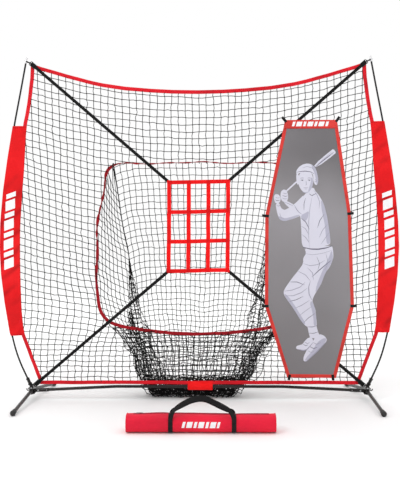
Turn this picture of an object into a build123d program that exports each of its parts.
from build123d import *
import math
import os

# Pitching target net: a bow-framed practice net with a ball-catching pocket, a
# strike-zone grid, a hanging batter sheet and its carry bag. Millimetres, +Z up,
# +Y from the thrower towards the net, origin on the ground under the middle of the
# kit's footprint. Shapes are laid out with the net's plane at y = 0 and moved back
# by NET_Y when they are written out.

# ---------------------------------------------------------------- driving sizes
NET_Y = 181.0            # net plane behind the middle of the footprint

# base
BAR_R, BAR_WALL = 9.5, 1.4            # crossbar tube
BAR_Z_MID, BAR_BEND_X = 85.0, 530.0   # raised middle of the crossbar and its bends
BAR_END_X, BAR_END_Z = 1040.0, 60.0   # crossbar end inside the corner socket
SOCKET_R, SOCKET_BORE = 11.7, 9.6     # crossbar socket on the corner bracket
BRACKET_X0, BRACKET_X1 = 1040.0, 1084.0
PLATE_Y, PLATE_T = 46.0, 3.0
PLATE_LOW, PLATE_HIGH = 45.0, 76.0    # undersides of the two bracket plates
PIVOT_X, PIVOT_Y = 1062.0, 28.0       # leg pivots, either side of the crossbar
LEG_R, LEG_WALL, LEG_Z = 11.0, 1.6, 62.0
FRONT_FOOT = (1088.0, -400.0)         # foot-cap centres
REAR_FOOT = (1000.0, 400.0)
CAP_R, CAP_Z = 17.0, 15.5             # rubber ball cap, flat where it stands
BOLT_R, EYE_R = 4.0, 12.0

# bowed poles (x, z) of the right-hand one
POLE_R = 5.6
POLE = [(1066, 82), (1152, 265), (1196, 430), (1228, 620), (1250, 800), (1259, 970),
        (1254, 1130), (1236, 1330), (1208, 1530), (1170, 1760), (1131, 1960), (1094, 2160)]
POLE_SPLITS = (640.0, 1270.0)         # ferruled joints
FERRULE_L, FERRULE_R = 60.0, 6.8
POLE_SOCKET_R, POLE_SOCKET_L = 10.0, 62.0
TIP_R, TIP_Z0, TIP_Z1 = 7.4, 2140.0, 2184.0

# net face, hem and sleeves: inner edge of the side hem (x, z), right-hand side
HEM_W, HEM_T, NET_T = 20.0, 5.0, 2.0
SIDE_IN = [(1000, 122), (1016, 165), (1034, 216), (1054, 267), (1072, 318), (1092, 368),
           (1112, 419), (1122, 470), (1130, 560), (1136, 724), (1140, 900), (1139, 1050),
           (1136, 1150), (1129, 1250), (1122, 1350), (1113, 1450), (1107, 1550),
           (1099, 1689), (1092, 1760), (1080, 1815), (1067, 1892), (1060, 1943),
           (1054, 1994), (1047, 2045), (1044, 2112)]
TOP_EDGE = [(0, 1966), (160, 1969), (300, 1977), (380, 1984), (460, 1991), (540, 2003),
            (610, 2014), (690, 2032), (754, 2050), (830, 2070), (906, 2093), (990, 2117),
            (1044, 2135)]
TOP_HEM_W = 24.0
BOTTOM_HEM = (99.0, 122.0)
SLEEVE_Z0, SLEEVE_Z1 = 428.0, 1762.0
TUNNEL_OUT, TUNNEL_IN, SLEEVE_T = 8.6, 7.3, 3.0

# pocket mouth (x, z), right-hand half, anticlockwise from bottom centre
MOUTH = [(0, 417), (180, 424), (350, 443), (470, 462), (560, 488), (610, 525), (634, 570),
         (642, 640), (648, 1003), (640, 1250), (622, 1440), (604, 1490), (570, 1510), (0, 1504)]
BIND_W, BIND_T = 20.0, 5.0
# pocket bag, level by level: z, front left x, front right x, back left, back right, front y, back y
POCKET = [(1524, -600, 600, -585, 585, 3.5, 50),
          (1450, -655, 655, -580, 580, 3.5, 190),
          (1200, -664, 664, -530, 520, 3.5, 285),
          (936, -664, 664, -480, 465, 3.5, 310),
          (600, -658, 658, -445, 415, 3.5, 315),
          (480, -585, 580, -425, 395, 3.5, 310),
          (405, -500, 480, -415, 385, 3.5, 300),
          (300, -420, 385, -385, 350, 14, 280),
          (170, -405, 350, -375, 330, 30, 262),
          (105, -370, 310, -350, 300, 38, 250),
          (4, -335, 262, -325, 255, 50, 235)]
POCKET_T = 3.0

# strike zone: outer half width, bottom, top, webbing width
ZONE_X, ZONE_Z0, ZONE_Z1, ZONE_W = 198.0, 810.0, 1395.0, 23.0
ZONE_Y = (-12.0, -10.0, -8.0)          # front of uprights, between layers, back of rails
STRAP_W, STRAP_Y = 20.0, (-8.0, -6.5)

# batter sheet outline (x, z), hung in front of the net on the right
SHEET = [(544, 1778), (878, 1778), (963, 1181), (981, 597), (866, 143), (559, 146),
         (420, 597), (424, 1168)]
SHEET_Y = (-15.6, -14.4)
SHEET_BORDER, SHEET_HEADER = 22.0, 52.0

# carry bag on the ground in front
BAG_X, BAG_L, BAG_D, BAG_H, BAG_Y = 15.0, 820.0, 120.0, 100.0, -719.0
HANDLE_W, HANDLE_X0, HANDLE_X1, HANDLE_TOP = 25.0, -150.0, 195.0, 178.0


# ---------------------------------------------------------------- helpers
def prism(pts, y0, y1):
    """Outline of (x, z) points as a slab from y0 to y1."""
    face = pts if isinstance(pts, (Sketch, Face)) else make_face(Polyline(*pts, close=True))
    return extrude(Plane.XZ.offset(-y1) * face, amount=y1 - y0)


def rod(p, q, r, r_in=0.0):
    p, q = Vector(*p), Vector(*q)
    plane = Plane(origin=p, z_dir=q - p)
    body = extrude(plane * Circle(r), amount=(q - p).length)
    if r_in:
        body -= extrude(plane * Circle(r_in), amount=(q - p).length)
    return body


def block(x0, x1, y0, y1, z0, z1):
    return Pos((x0 + x1) / 2, (y0 + y1) / 2, (z0 + z1) / 2) * Box(x1 - x0, y1 - y0, z1 - z0)


def band(a, b, y0, y1):
    """Ribbon between two point rows of equal direction."""
    return prism(list(a) + list(reversed(b)), y0, y1)


def arc_path(pts):
    """Straight runs joined by arcs as large as the runs allow."""
    radii = []
    for i in range(1, len(pts) - 1):
        a, b, c = (Vector(*pts[j]) for j in (i - 1, i, i + 1))
        turn = math.radians((b - a).get_angle(c - b))
        radii.append(0.45 * min((b - a).length, (c - b).length) / math.tan(turn / 2))
    return FilletPolyline(*pts, radius=radii)


def swept(path, r, r_in=0.0):
    section = Circle(r) - Circle(r_in) if r_in else Circle(r)
    return sweep(Plane(origin=path @ 0, z_dir=path % 0) * section, path=path)


def slab_z(z0, z1):
    return block(-3000, 3000, -3000, 3000, z0, z1)


def left(shape):
    return mirror(shape, about=Plane.YZ)


def at(pts, z):
    """x of a point row at height z."""
    for (x0, z0), (x1, z1) in zip(pts, pts[1:]):
        if z0 <= z <= z1:
            return x0 + (x1 - x0) * (z - z0) / (z1 - z0)
    raise ValueError(z)


PARTS = {}


def put(name, *shapes):
    PARTS[name] = list(shapes)


def put_pair(name, shape):
    put(name + "_right", shape)
    put(name + "_left", left(shape))


# ---------------------------------------------------------------- base
slope = (BAR_END_Z - BAR_Z_MID) / (BAR_END_X - BAR_BEND_X)


def bar_z(x):
    return BAR_Z_MID + slope * (x - BAR_BEND_X)


BUTTON_X, RIVET_X = 968.0, 1022.0
bar_path = FilletPolyline((0.5, 0, BAR_Z_MID), (BAR_BEND_X, 0, BAR_Z_MID),
                          (BAR_END_X - 3, 0, bar_z(BAR_END_X - 3)), radius=700)
half_bar = swept(bar_path, BAR_R, BAR_R - BAR_WALL)
button_hole = rod((BUTTON_X, -20, bar_z(BUTTON_X)), (BUTTON_X, -2, bar_z(BUTTON_X)), 3.1)
rivet_hole = rod((RIVET_X, -20, bar_z(RIVET_X)), (RIVET_X, 20, bar_z(RIVET_X)), 2.55)
half_bar = half_bar - button_hole - rivet_hole
put_pair("crossbar", half_bar)

coupler = rod((-60, 0, BAR_Z_MID), (60, 0, BAR_Z_MID), 11.5, BAR_R + 0.08)
put("crossbar_coupler", coupler)

# corner bracket: two plates, a web block between them, crossbar socket, pole socket, strap peg
outline = Pos((BRACKET_X0 + BRACKET_X1) / 2, 0) * RectangleRounded(
    BRACKET_X1 - BRACKET_X0, 2 * PLATE_Y, 12)
bracket = extrude(Pos(0, 0, PLATE_LOW) * outline, amount=PLATE_T)
bracket += extrude(Pos(0, 0, PLATE_HIGH) * outline, amount=PLATE_T)
bracket += block(BAR_END_X + 2, 1078, -12.5, 12.5, PLATE_LOW + 1, PLATE_HIGH + 1)
sx0, sx1 = 956.0, 1050.0
bracket += rod((sx0, 0, bar_z(sx0)), (sx1, 0, bar_z(sx1)), SOCKET_R)
bracket -= rod((sx0 - 1, 0, bar_z(sx0 - 1)), (BAR_END_X, 0, bar_z(BAR_END_X)), SOCKET_BORE)
lean = Vector(POLE[1][0] - POLE[0][0], 0, POLE[1][1] - POLE[0][1]).normalized()
foot = Vector(POLE[0][0], 0, POLE[0][1])
low, high = foot - lean * 5, foot + lean * POLE_SOCKET_L
socket = rod(tuple(low), tuple(high), POLE_SOCKET_R)
collar = rod(tuple(high - lean * 9), tuple(high), POLE_SOCKET_R + 1.6)
bracket += (socket + collar) & slab_z(PLATE_HIGH, 400)
bracket -= rod(tuple(foot - lean * 0.5), tuple(foot + lean * 80), POLE_R + 0.15)
peg = rod((1076, 0, 60), (1094, 0, 60), 3.0) + Pos(1094, 0, 60) * Sphere(3.0)
peg += rod((1094, 0, 60), (1099, 0, 69), 3.0) + Pos(1099, 0, 69) * Sphere(3.0)
bracket += peg
for sign in (-1, 1):
    bracket -= rod((PIVOT_X, sign * PIVOT_Y, 40), (PIVOT_X, sign * PIVOT_Y, 90), BOLT_R + 0.05)
bracket = bracket - button_hole - rivet_hole
put_pair("corner_bracket", bracket)

# spring buttons and their leaf springs, rivets through socket and tube
bz = bar_z(BUTTON_X)
button = rod((BUTTON_X, -12.6, bz), (BUTTON_X, -5.9, bz), 3.0)
button += Pos(BUTTON_X, -12.6, bz) * Sphere(3.0)
button += rod((BUTTON_X, -6.9, bz), (BUTTON_X, -5.9, bz), 3.8)
put_pair("button_pin", button)
leaf = extrude(Pos(0, 0, bz - 2.5) * make_face(Polyline(
    (BUTTON_X - 26, 5.8), (BUTTON_X - 25, 6.6), (BUTTON_X - 2, -2.3), (BUTTON_X + 8, -2.5),
    (BUTTON_X + 8, -3.3), (BUTTON_X - 2.4, -3.1), close=True)), amount=5)
leaf += extrude(Pos(0, 0, bz - 2.5) * make_face(Polyline(
    (BUTTON_X - 26, 5.8), (BUTTON_X - 25, 6.6), (BUTTON_X + 8, 6.6), (BUTTON_X + 8, 5.8),
    close=True)), amount=5)
put("button_springs", leaf, left(leaf))
rz = bar_z(RIVET_X)
rivet = rod((RIVET_X, -13.2, rz), (RIVET_X, 13.2, rz), 2.5)
for s in (-1, 1):
    head = Pos(RIVET_X, s * 10.2, rz) * Sphere(5.6)
    head &= block(RIVET_X - 9, RIVET_X + 9, min(s * 12.0, s * 18), max(s * 12.0, s * 18), rz - 9, rz + 9)
    rivet += head
put("crossbar_rivets", rivet, left(rivet))


# folding legs with their pivot bolts, nuts, washers and rubber ball caps
def leg_and_cap(foot_xy, sign):
    pivot = Vector(PIVOT_X, sign * PIVOT_Y, LEG_Z)
    centre = Vector(foot_xy[0], foot_xy[1], CAP_Z)
    along = (centre - pivot).normalized()
    tube = rod(tuple(pivot + along * 6), tuple(centre - along * 4), LEG_R)
    tube -= rod(tuple(pivot + along * 15), tuple(centre + along * 5), LEG_R - LEG_WALL)
    eye = rod((pivot.X, pivot.Y, PLATE_LOW + PLATE_T + 0.3), (pivot.X, pivot.Y, PLATE_HIGH - 0.3), EYE_R)
    leg = tube + eye
    leg -= rod((pivot.X, pivot.Y, 40), (pivot.X, pivot.Y, 90), BOLT_R + 0.06)
    cap = Pos(*centre) * Sphere(CAP_R)
    cap += rod(tuple(centre - along * 34), tuple(centre), 14.0)
    cap &= slab_z(0, 200)
    cap -= rod(tuple(centre - along * 40), tuple(centre - along * 3.9), LEG_R + 0.08)
    return leg, cap


for name, where, sign in (("front", FRONT_FOOT, -1), ("rear", REAR_FOOT, 1)):
    leg, cap = leg_and_cap(where, sign)
    put_pair(f"leg_{name}", leg)
    put_pair(f"foot_cap_{name}", cap)

bolts, nuts = [], []
for mx in (1, -1):
    for my in (-1, 1):
        x, y = mx * PIVOT_X, my * PIVOT_Y
        bolt = rod((x, y, 39), (x, y, PLATE_HIGH + PLATE_T), BOLT_R)
        dome = (Pos(x, y, PLATE_HIGH + PLATE_T - 3.2) * Sphere(8.6)) & slab_z(PLATE_HIGH + PLATE_T, 200)
        bolts.append(bolt + dome)
        nut = extrude(Pos(x, y, 38.4) * RegularPolygon(6.6, 6), amount=6.6)
        nut -= rod((x, y, 30), (x, y, 60), BOLT_R + 0.05)
        nuts.append(nut)
put("pivot_bolts", *bolts)
put("pivot_nuts", *nuts)

# ---------------------------------------------------------------- bowed poles
path = arc_path([(x, 0, z) for x, z in POLE])
whole = swept(path, POLE_R)
cuts = [0.0, POLE_SPLITS[0], POLE_SPLITS[1], 3000.0]
for part_name, z0, z1 in zip(("lower", "middle", "upper"), cuts, cuts[1:]):
    put_pair(f"pole_{part_name}", whole & slab_z(z0, z1))
ring = swept(path, FERRULE_R, POLE_R + 0.06)
ferrules = [ring & slab_z(z - FERRULE_L / 2, z + FERRULE_L / 2) for z in POLE_SPLITS]
put("pole_ferrules", *ferrules, *[left(f) for f in ferrules])
up = Vector(POLE[-1][0] - POLE[-2][0], 0, POLE[-1][1] - POLE[-2][1]).normalized()
end = Vector(POLE[-1][0], 0, POLE[-1][1])
tip = rod(tuple(end - up * 18), tuple(end + up * 16), TIP_R) + Pos(*(end + up * 16)) * Sphere(TIP_R)
tip -= rod(tuple(end - up * 20), tuple(end + up * 0.1), POLE_R + 0.06)
put_pair("pole_tip", tip)

# ---------------------------------------------------------------- net face and hems
right_in = SIDE_IN
left_in = [(-x, z) for x, z in SIDE_IN]
top_low = [(x, z - TOP_HEM_W) for x, z in TOP_EDGE]
top_row = [(-x, z) for x, z in reversed(top_low[1:])] + top_low
net_outline = [(-SIDE_IN[0][0], BOTTOM_HEM[1]), (SIDE_IN[0][0], BOTTOM_HEM[1])]
net_outline += SIDE_IN[1:-1] + list(reversed(top_row)) + list(reversed(left_in[1:-1]))
net_face = make_face(Polyline(*net_outline, close=True))
mouth_row = MOUTH + [(-x, z) for x, z in reversed(MOUTH[1:-1])]
mouth = make_face(Polyline(*mouth_row, close=True))
mouth_out = offset(mouth, amount=BIND_W / 2, kind=Kind.INTERSECTION)
mouth_in = offset(mouth, amount=-BIND_W / 2, kind=Kind.INTERSECTION)
put("net_face", prism(net_face - mouth_out, -NET_T / 2, NET_T / 2))
put("pocket_mouth_binding", prism(mouth_out - mouth_in, -BIND_T / 2, BIND_T / 2))

full_top = [(-x, z) for x, z in reversed(TOP_EDGE[1:])] + TOP_EDGE
put("hem_top", prism(full_top + list(reversed(top_row)), -HEM_T / 2, HEM_T / 2))
put("hem_bottom", prism([(-1000, BOTTOM_HEM[0]), (1000, BOTTOM_HEM[0]), (1000, BOTTOM_HEM[1]),
                         (-1000, BOTTOM_HEM[1])], -HEM_T / 2, HEM_T / 2))
side_in = [(1000, BOTTOM_HEM[0])] + SIDE_IN[:-1] + [(1044, 2111), (1044, 2135)]
side_out = [(x + HEM_W, z) for x, z in side_in]
side_out[0] = (1018, BOTTOM_HEM[0])
put_pair("hem_side", band(side_in, side_out, -HEM_T / 2, HEM_T / 2))

# webbing tab that wraps the crossbar at the middle of the bottom hem
tab = extrude(Plane.YZ.offset(-70) * Pos(0, 81) * RectangleRounded(33.4, 36, 13), amount=158)
tab -= extrude(Plane.YZ.offset(-71) * Pos(0, 81) * RectangleRounded(30.4, 33, 11.5), amount=160)
tab += block(-70, 88, -4.2, -HEM_T / 2, 97, 119)
put("hem_tab", tab & slab_z(60, 200))

# ---------------------------------------------------------------- pole sleeves
def levels(pts):
    return [SLEEVE_Z0] + [z for _, z in pts if SLEEVE_Z0 < z < SLEEVE_Z1] + [SLEEVE_Z1]


inner_row = [(at(side_out[:-1], z), z) for z in levels(side_out)]
outer_row = [(at(POLE, z), z) for z in levels(POLE)]
sleeve = prism(inner_row + list(reversed(outer_row)), -SLEEVE_T / 2, SLEEVE_T / 2)
sleeve += swept(path, TUNNEL_OUT) & slab_z(SLEEVE_Z0, SLEEVE_Z1)
sleeve -= swept(path, TUNNEL_IN)
put_pair("pole_sleeve", sleeve & slab_z(SLEEVE_Z0, SLEEVE_Z1))


# ---------------------------------------------------------------- pocket
def level(row, t):
    z, fl, fr, bl, br, yf, yb = row
    pts = [(fl + t, yf + t), (fr - t, yf + t), (br - t, yb - t), (bl + t, yb - t)]
    return Pos(0, 0, z) * make_face(Polyline(*pts, close=True))


outer = loft([level(r, 0) for r in reversed(POCKET)], ruled=True)
inner_rows = [list(r) for r in POCKET]
inner_rows[0][0] -= POCKET_T
inner_rows[-1][0] += POCKET_T
inner = loft([level(r, POCKET_T) for r in reversed(inner_rows)], ruled=True)
bag = outer - inner
bag -= prism(mouth_in, -10, 12)
put("pocket_net", bag)

# ---------------------------------------------------------------- strike zone and its straps
strips = []
pitch = (2 * ZONE_X - ZONE_W) / 3
for i in range(4):
    x = -ZONE_X + i * pitch
    strips.append(block(x, x + ZONE_W, ZONE_Y[0], ZONE_Y[1], ZONE_Z0, ZONE_Z1))
put("strike_zone_uprights", *strips)
strips = []
rise = (ZONE_Z1 - ZONE_Z0 - ZONE_W) / 3
for i in range(4):
    z = ZONE_Z0 + i * rise
    strips.append(block(-ZONE_X, ZONE_X, ZONE_Y[1], ZONE_Y[2], z, z + ZONE_W))
put("strike_zone_rails", *strips)

HOOK_L, HOOK_W, HOOK_BAR = 50.0, 30.0, 4.5
hook_mid = {"top": Vector(1050, 0, 2130), "bottom": Vector(1030, 0, 106)}
zone_pt = {"top": Vector(188, 0, ZONE_Z1 - 10), "bottom": Vector(188, 0, ZONE_Z0 + 10)}
gate_pivot = {}
loops = []
for key in ("top", "bottom"):
    mid, goal = hook_mid[key], zone_pt[key]
    out = (mid - goal).normalized()               # u, towards the net's corner
    side = Vector(out.Z, 0, -out.X)               # v, across
    if key == "bottom":
        side = side * -1
    place = Plane(origin=mid + Vector(0, -5, 0), x_dir=out, z_dir=(0, -1, 0))
    flip = -1 if (place.y_dir - side).length > 1 else 1

    def local(u0, u1, v0, v1, y0, y1):
        """Slab in hook coordinates, from y0 to y1 in the world's y."""
        face = Pos((u0 + u1) / 2, flip * (v0 + v1) / 2) * Rectangle(u1 - u0, v1 - v0)
        plane = Plane(origin=mid + Vector(0, y1, 0), x_dir=out, z_dir=(0, -1, 0))
        return extrude(plane * face, amount=y1 - y0)

    ring2 = RectangleRounded(HOOK_L, HOOK_W, 8) - RectangleRounded(
        HOOK_L - 2 * HOOK_BAR, HOOK_W - 2 * HOOK_BAR, 1.5)
    hook = extrude(place * ring2, amount=4)
    hook -= local(-8, 12, HOOK_W / 2 - HOOK_BAR - 1, HOOK_W / 2 + 1, -10, -4)
    put_pair(f"snap_hook_{key}", hook)
    v_mid = HOOK_W / 2 - HOOK_BAR / 2
    plane = Plane(origin=mid + Vector(0, -5.4, 0), x_dir=out, z_dir=(0, -1, 0))
    gate = extrude(plane * Pos(2.0, flip * v_mid) * SlotOverall(19.2, 3.2), amount=3.2)
    put_pair(f"hook_gate_{key}", gate)
    gate_pivot[key] = mid + out * (2.0 - 9.6 + 1.6) + side * v_mid

    # strap: sewn loop round the hook's tail bar, then a flat ribbon to the zone corner
    reach = (goal - mid).length
    strap = local(-reach, -44, -STRAP_W / 2, STRAP_W / 2, STRAP_Y[0], STRAP_Y[1])
    strap += local(-52, -44, -STRAP_W / 2, STRAP_W / 2, -10.6, -3.4)
    strap += local(-46, -18.1, -STRAP_W / 2, STRAP_W / 2, -10.6, -9.4)
    strap += local(-46, -18.1, -STRAP_W / 2, STRAP_W / 2, -4.6, -3.4)
    strap += local(-19.3, -18.1, -STRAP_W / 2, STRAP_W / 2, -10.6, -3.4)
    put_pair(f"strap_{key}", strap)

    # webbing loop from the hook's nose to the pole (top) or to the pole socket (bottom)
    if key == "top":
        centre, axis, r_in, r_out = Vector(*(end - up * 6)), up, TIP_R + 0.1, 11.0
    else:
        centre, axis, r_in, r_out = foot + lean * 22, lean, POLE_SOCKET_R + 0.1, 13.0
    start = mid + out * 19
    go = (centre - start)
    plies = None
    for y0, y1 in ((-10.8, -9.6), (-4.4, -3.2)):
        plane = Plane(origin=start + Vector(0, y1, 0), x_dir=go.normalized(), z_dir=(0, -1, 0))
        ply = extrude(plane * Pos((go.length - 1) / 2 - 0.5, 0) * Rectangle(go.length - 1, 8), amount=y1 - y0)
        plies = ply if plies is None else plies + ply
    plies += local(18.2, 19.6, -4, 4, -10.8, -3.2)
    collar = rod(tuple(centre - axis * 4.5), tuple(centre + axis * 4.5), r_out, r_in)
    bore = rod(tuple(centre - axis * 30), tuple(centre + axis * 30), r_in)
    loops.append((plies - bore) + collar)
put("corner_loops", *loops, *[left(s) for s in loops])

# ---------------------------------------------------------------- batter sheet
sheet = make_face(Polyline(*SHEET, close=True))
core = offset(sheet, amount=-SHEET_BORDER, kind=Kind.INTERSECTION)
head_z = SHEET[0][1] - SHEET_HEADER
below = make_face(Polyline((0, 0), (1500, 0), (1500, head_z), (0, head_z), close=True))
panel = core & below
put("batter_sheet", prism(panel, *SHEET_Y))
put("batter_sheet_border", prism(sheet - panel, SHEET_Y[0] - 0.8, SHEET_Y[1] + 0.8))

hooks = []
spots = [((548, 1770), (-0.6, 0.8)), ((874, 1770), (0.6, 0.8)), ((424, 1168), (-1, 0.1)),
         ((963, 1181), (1, 0.1)), ((420, 597), (-1, 0)), ((981, 597), (1, 0)),
         ((573, 150), (-0.15, -1)), ((847, 150), (0.15, -1))]
for (x, z), (dx, dz) in spots:
    n = math.hypot(dx, dz)
    plane = Plane(origin=(x, SHEET_Y[1] + 0.8 + 1.6, z), x_dir=(dx / n, 0, dz / n), z_dir=(0, -1, 0))
    s = extrude(plane * Pos(14, 0) * Rectangle(48, 15), amount=1.6)
    deep = -HEM_T / 2 - (SHEET_Y[1] + 0.8) - 0.1
    plane2 = Plane(origin=(x, SHEET_Y[1] + 0.8 + deep, z), x_dir=(dx / n, 0, dz / n), z_dir=(0, -1, 0))
    s += extrude(plane2 * Pos(36, 0) * Rectangle(4, 15), amount=deep)
    hooks.append(s)
put("sheet_hook_straps", *hooks)

# ---------------------------------------------------------------- carry bag
bag_face = RectangleRounded(BAG_D, BAG_H, 34)
body = extrude(Plane.YZ.offset(BAG_X - BAG_L / 2) * Pos(BAG_Y, BAG_H / 2) * bag_face, amount=BAG_L)
put("carry_bag", body)
bands = []
for x in (HANDLE_X0, HANDLE_X1):
    ring3 = RectangleRounded(BAG_D + 0, BAG_H, 34)
    outer_ring = offset(ring3, amount=2.0)
    strip = extrude(Plane.YZ.offset(x - HANDLE_W / 2) * Pos(BAG_Y, BAG_H / 2) * (outer_ring - ring3), amount=HANDLE_W)
    bands.append(strip & slab_z(14, 400) & block(-2000, 2000, BAG_Y - BAG_D / 2, 0, 0, 400))
put("carry_bag_bands", *bands)
handles = []
for y, lift in ((BAG_Y - 26, 0.0), (BAG_Y + 26, -14.0)):
    top = HANDLE_TOP + lift
    mid_x = (HANDLE_X0 + HANDLE_X1) / 2
    z0 = BAG_H + 2.2
    a = [(HANDLE_X0 - 12, z0), (HANDLE_X0 + 12, z0), (mid_x - 62, top - 14), (mid_x + 62, top - 14),
         (HANDLE_X1 - 12, z0), (HANDLE_X1 + 12, z0), (HANDLE_X1 + 12, z0 + 3), (mid_x + 72, top - 9),
         (mid_x + 50, top), (mid_x - 50, top), (mid_x - 72, top - 9), (HANDLE_X0 - 12, z0 + 3)]
    handles.append(prism(a, y - HANDLE_W / 2, y + HANDLE_W / 2))
put("carry_bag_handles", *handles)
zip_strip = block(BAG_X - BAG_L / 2 + 40, HANDLE_X0 - 40, BAG_Y - 5, BAG_Y + 5, BAG_H, BAG_H + 1.5)
pull = block(BAG_X - BAG_L / 2 + 60, BAG_X - BAG_L / 2 + 92, BAG_Y - 4, BAG_Y + 4, BAG_H + 1.5, BAG_H + 5)
put("carry_bag_zip", zip_strip + pull)

# ---------------------------------------------------------------- write out
os.makedirs("parts", exist_ok=True)
for name, shapes in PARTS.items():
    solids = [s for shape in shapes for s in shape.solids()]
    moved = [Pos(0, NET_Y, 0) * s for s in solids]
    export_step(moved[0] if len(moved) == 1 else Compound(children=moved), f"parts/{name}.step")
whole_kit = Compound(children=[Pos(0, NET_Y, 0) * s for shapes in PARTS.values() for shape in shapes for s in shape.solids()])
box = whole_kit.bounding_box()
print("nodes", len(PARTS), "box", box.min, box.max)
for key, p in gate_pivot.items():
    print("gate pivot", key, p.X, p.Z)
